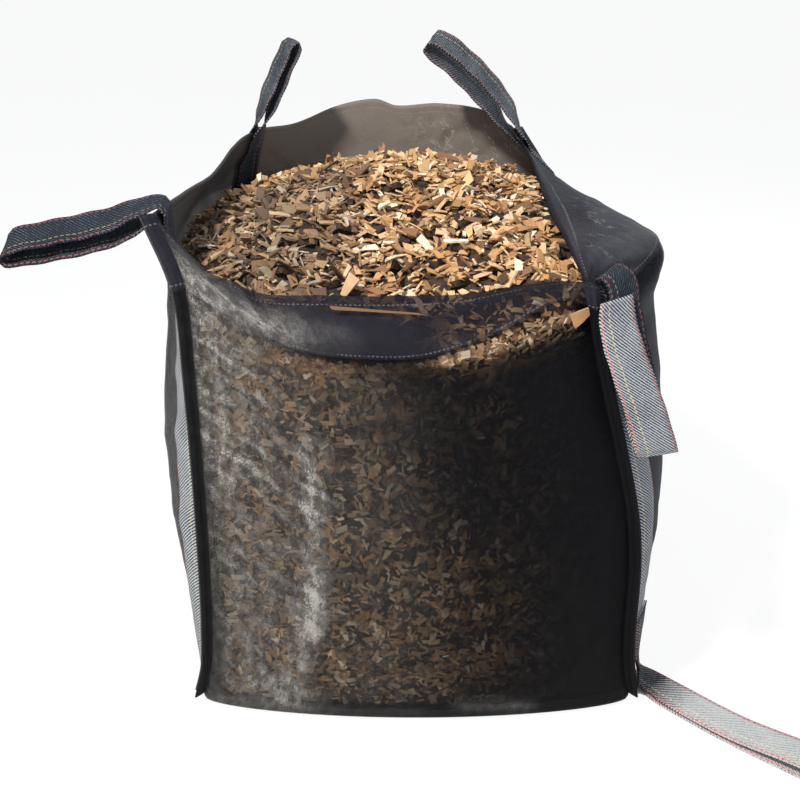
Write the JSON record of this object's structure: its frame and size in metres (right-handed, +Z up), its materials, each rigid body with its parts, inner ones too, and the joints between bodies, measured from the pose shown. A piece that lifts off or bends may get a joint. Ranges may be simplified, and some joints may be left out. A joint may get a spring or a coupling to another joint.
{
  "type": "filled bulk bag",
  "caption": "Square open-topped mesh bulk bag with lifting loops at its corners and an emptying loop at one foot, full of heaped wood chips.",
  "frame": {"origin": "centre of the base, on the floor", "axes": "+Z up, +X to the right of the front, -Y the front where the hem sags over the chips"},
  "size_m": [1.6009, 1.3416, 1.2286],
  "materials": {
    "black_mesh_cloth": "open leno mesh, dusty",
    "side_mesh_cloth": "open leno mesh, creased",
    "grey_twill_webbing": "worn twill webbing",
    "bleached_webbing": "bleached and dusty twill webbing",
    "wood_chips": "split wood, dry and matt"
  },
  "bodies": {
    "root": {"front_base_back_panel": "black_mesh_cloth", "left_side_panel": "side_mesh_cloth", "right_side_panel": "side_mesh_cloth", "emptying_loop": "bleached_webbing", "wood_chips": "wood_chips", "front_left_lifting_strap": "grey_twill_webbing", "back_left_lifting_strap": "grey_twill_webbing", "back_right_lifting_strap": "grey_twill_webbing", "front_right_lifting_strap": "grey_twill_webbing"}
  },
  "joints": []
}
